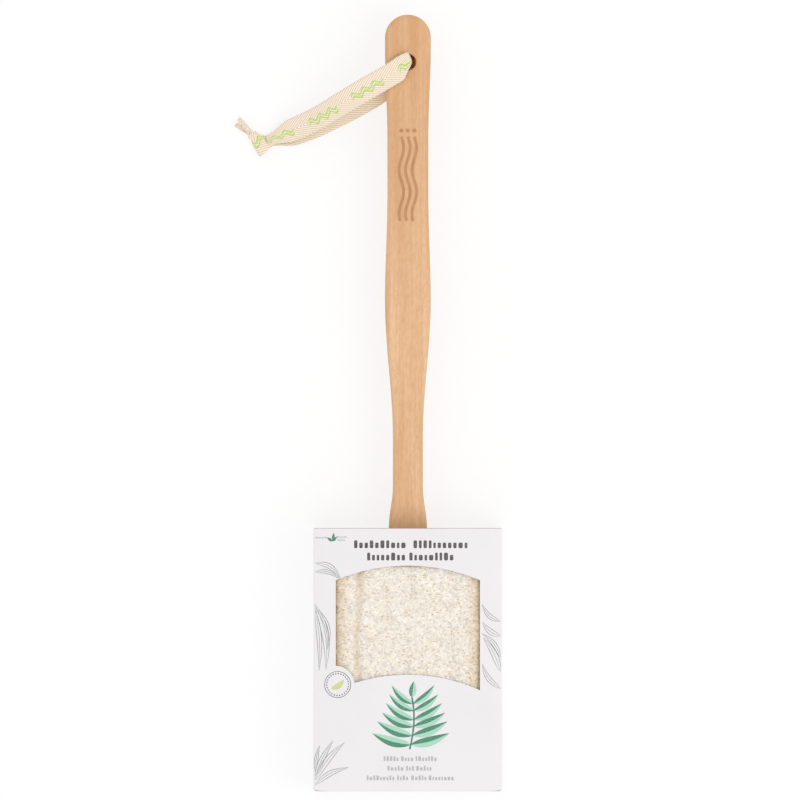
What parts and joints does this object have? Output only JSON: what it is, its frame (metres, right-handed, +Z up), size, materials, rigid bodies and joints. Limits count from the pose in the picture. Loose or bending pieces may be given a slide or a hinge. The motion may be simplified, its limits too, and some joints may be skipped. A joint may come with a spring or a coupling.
{
  "type": "loofah back scrubber",
  "caption": "Long-handled loofah back scrubber with a cotton hanging loop, its sewn head packed in a white card carton with an arched window.",
  "frame": {"origin": "on the surface that it lies on, under the middle of the carton and handle together", "axes": "+Y along the handle to its hanging hole, +Z up out of the loofah face and the carton's front, +X to the right seen from the front"},
  "size_m": [0.14, 0.4054, 0.042],
  "materials": {
    "beech_wood": "satin",
    "loofah": "matte",
    "wadding": "matte",
    "cotton_binding": "matte",
    "cotton_thread": "matte",
    "cotton_tape": "matte",
    "white_card": "matte"
  },
  "bodies": {
    "brush": {"handle": "beech_wood", "loofah_front_pad": "loofah", "loofah_rear_pad": "loofah", "core_padding": "wadding", "edge_binding": "cotton_binding", "binding_thread": "cotton_thread", "tang_lashing": "cotton_thread"},
    "hang_loop": {"tape_in_hole": "cotton_tape", "tape_front_strand": "cotton_tape", "tape_back_strand": "cotton_tape", "tape_knot": "cotton_tape", "tape_tails": "cotton_tape"},
    "carton": {"carton_front_panel": "white_card", "carton_back_panel": "white_card", "carton_left_panel": "white_card", "carton_right_panel": "white_card", "carton_glue_tab": "white_card"},
    "bottom_flap": {"carton_bottom_flap": "white_card", "carton_tuck_lip": "white_card"},
    "dust_flap_l": {"dust_flap_left": "white_card"},
    "dust_flap_r": {"dust_flap_right": "white_card"}
  },
  "joints": [
    {"name": "carton_slide", "type": "slide", "parent": "brush", "child": "carton", "axis": [0, -1, 0], "range_m": [0, 0.15]},
    {"name": "tape_swing", "type": "hinge", "parent": "brush", "child": "hang_loop", "pos_m": [0, 0.1779, 0.021], "axis": [0, 0, 1], "range_deg": [-236, 10]},
    {"name": "tuck_flap_fold", "type": "hinge", "parent": "carton", "child": "bottom_flap", "pos_m": [0, -0.2025, 0.00025], "axis": [1, 0, 0], "range_deg": [0, 90]},
    {"name": "dust_flap_left_fold", "type": "hinge", "parent": "carton", "child": "dust_flap_l", "pos_m": [-0.04895, -0.20185, 0.021], "axis": [0, 0, -1], "range_deg": [0, 45]},
    {"name": "dust_flap_right_fold", "type": "hinge", "parent": "carton", "child": "dust_flap_r", "pos_m": [0.04895, -0.20185, 0.021], "axis": [0, 0, 1], "range_deg": [0, 45]}
  ],
  "couplings": [
    {"joint": "dust_flap_left_fold", "follows": "tuck_flap_fold", "ratio": 0.5},
    {"joint": "dust_flap_right_fold", "follows": "tuck_flap_fold", "ratio": 0.5}
  ]
}
